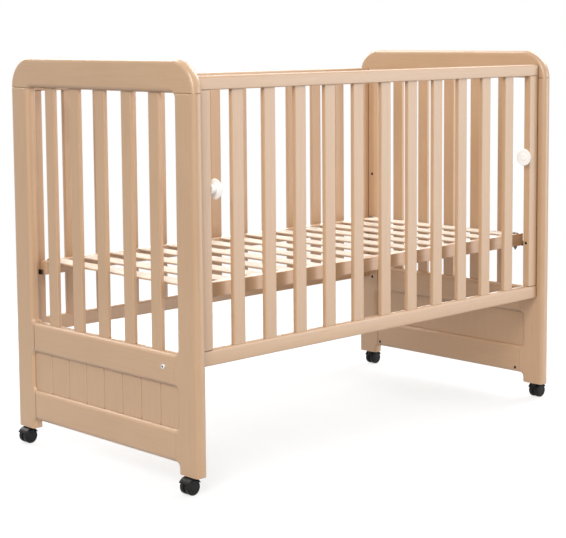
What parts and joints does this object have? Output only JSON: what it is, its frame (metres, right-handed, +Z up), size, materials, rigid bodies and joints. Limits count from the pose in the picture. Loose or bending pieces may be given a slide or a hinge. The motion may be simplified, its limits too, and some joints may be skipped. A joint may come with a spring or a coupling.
{
  "type": "crib",
  "caption": "Beige wooden crib: routed end panels with plank inlay, lowering slatted front with pull knobs, fixed back, height-adjustable slatted base, swivel casters",
  "frame": {"origin": "centre of the bounding box, on the floor under the casters", "axes": "+Z up; +X along the crib's length; the lowering side faces -Y"},
  "size_m": [1.2954, 0.68, 0.949],
  "materials": {
    "lacquered_wood": "satin",
    "bare_birch": "matte",
    "knob_plastic": "gloss",
    "caster_plastic": "satin",
    "wheel_plastic": "satin",
    "steel_rod": "satin"
  },
  "bodies": {
    "frame": {"back_side_frame": "lacquered_wood", "back_side_top_rail": "lacquered_wood", "left_back_post": "lacquered_wood", "left_bottom_rail": "lacquered_wood", "left_end_slat_1": "lacquered_wood", "left_end_slat_2": "lacquered_wood", "left_end_slat_3": "lacquered_wood", "left_end_slat_4": "lacquered_wood", "left_end_slat_5": "lacquered_wood", "left_front_post": "lacquered_wood", "left_header": "lacquered_wood", "left_mid_rail": "lacquered_wood", "left_plank_panel": "lacquered_wood", "right_back_post": "lacquered_wood", "right_bottom_rail": "lacquered_wood", "right_end_slat_1": "lacquered_wood", "right_end_slat_2": "lacquered_wood", "right_end_slat_3": "lacquered_wood", "right_end_slat_4": "lacquered_wood", "right_end_slat_5": "lacquered_wood", "right_front_post": "lacquered_wood", "right_header": "lacquered_wood", "right_mid_rail": "lacquered_wood", "right_plank_panel": "lacquered_wood"},
    "drop_side": {"drop_side_bottom_rail": "lacquered_wood", "drop_side_slat_1": "lacquered_wood", "drop_side_slat_10": "lacquered_wood", "drop_side_slat_11": "lacquered_wood", "drop_side_slat_2": "lacquered_wood", "drop_side_slat_3": "lacquered_wood", "drop_side_slat_4": "lacquered_wood", "drop_side_slat_5": "lacquered_wood", "drop_side_slat_6": "lacquered_wood", "drop_side_slat_7": "lacquered_wood", "drop_side_slat_8": "lacquered_wood", "drop_side_slat_9": "lacquered_wood", "drop_side_top_rail": "lacquered_wood", "left_drop_side_stile": "lacquered_wood", "left_guide_pin": "steel_rod", "right_drop_side_stile": "lacquered_wood", "right_guide_pin": "steel_rod"},
    "latch_left": {"left_latch_knob": "knob_plastic", "left_latch_pin": "steel_rod"},
    "latch_right": {"right_latch_knob": "knob_plastic", "right_latch_pin": "steel_rod"},
    "bed_base": {"bed_base_front_rail": "lacquered_wood", "bed_base_slatted_frame": "bare_birch"},
    "swivel_front_left": {"front_left_caster_housing": "caster_plastic", "front_left_caster_stem": "steel_rod"},
    "wheels_front_left": {"front_left_caster_wheels": "wheel_plastic"},
    "swivel_front_right": {"front_right_caster_housing": "caster_plastic", "front_right_caster_stem": "steel_rod"},
    "wheels_front_right": {"front_right_caster_wheels": "wheel_plastic"},
    "swivel_back_left": {"back_left_caster_housing": "caster_plastic", "back_left_caster_stem": "steel_rod"},
    "wheels_back_left": {"back_left_caster_wheels": "wheel_plastic"},
    "swivel_back_right": {"back_right_caster_housing": "caster_plastic", "back_right_caster_stem": "steel_rod"},
    "wheels_back_right": {"back_right_caster_wheels": "wheel_plastic"}
  },
  "joints": [
    {"name": "drop_side_slide", "type": "slide", "parent": "frame", "child": "drop_side", "axis": [0, 0, 1], "range_m": [-0.17, 0]},
    {"name": "latch_left_pull", "type": "slide", "parent": "drop_side", "child": "latch_left", "axis": [1, 0, 0], "range_m": [0, 0.011], "stiffness_N_per_m": 500, "springref_m": -0.006},
    {"name": "latch_right_pull", "type": "slide", "parent": "drop_side", "child": "latch_right", "axis": [-1, 0, 0], "range_m": [0, 0.011], "stiffness_N_per_m": 500, "springref_m": -0.006},
    {"name": "bed_base_height", "type": "slide", "parent": "frame", "child": "bed_base", "axis": [0, 0, 1], "range_m": [-0.155, 0.155]},
    {"name": "front_left_swivel", "type": "hinge", "parent": "frame", "child": "swivel_front_left", "pos_m": [-0.6195, -0.306, 0.04], "axis": [0, 0, 1], "continuous": true},
    {"name": "front_left_roll", "type": "hinge", "parent": "swivel_front_left", "child": "wheels_front_left", "pos_m": [-0.6295, -0.306, 0.018], "axis": [0, 1, 0], "continuous": true},
    {"name": "front_right_swivel", "type": "hinge", "parent": "frame", "child": "swivel_front_right", "pos_m": [0.6195, -0.306, 0.04], "axis": [0, 0, 1], "continuous": true},
    {"name": "front_right_roll", "type": "hinge", "parent": "swivel_front_right", "child": "wheels_front_right", "pos_m": [0.6295, -0.306, 0.018], "axis": [0, 1, 0], "continuous": true},
    {"name": "back_left_swivel", "type": "hinge", "parent": "frame", "child": "swivel_back_left", "pos_m": [-0.6195, 0.306, 0.04], "axis": [0, 0, 1], "continuous": true},
    {"name": "back_left_roll", "type": "hinge", "parent": "swivel_back_left", "child": "wheels_back_left", "pos_m": [-0.6295, 0.306, 0.018], "axis": [0, 1, 0], "continuous": true},
    {"name": "back_right_swivel", "type": "hinge", "parent": "frame", "child": "swivel_back_right", "pos_m": [0.6195, 0.306, 0.04], "axis": [0, 0, 1], "continuous": true},
    {"name": "back_right_roll", "type": "hinge", "parent": "swivel_back_right", "child": "wheels_back_right", "pos_m": [0.6295, 0.306, 0.018], "axis": [0, 1, 0], "continuous": true}
  ]
}
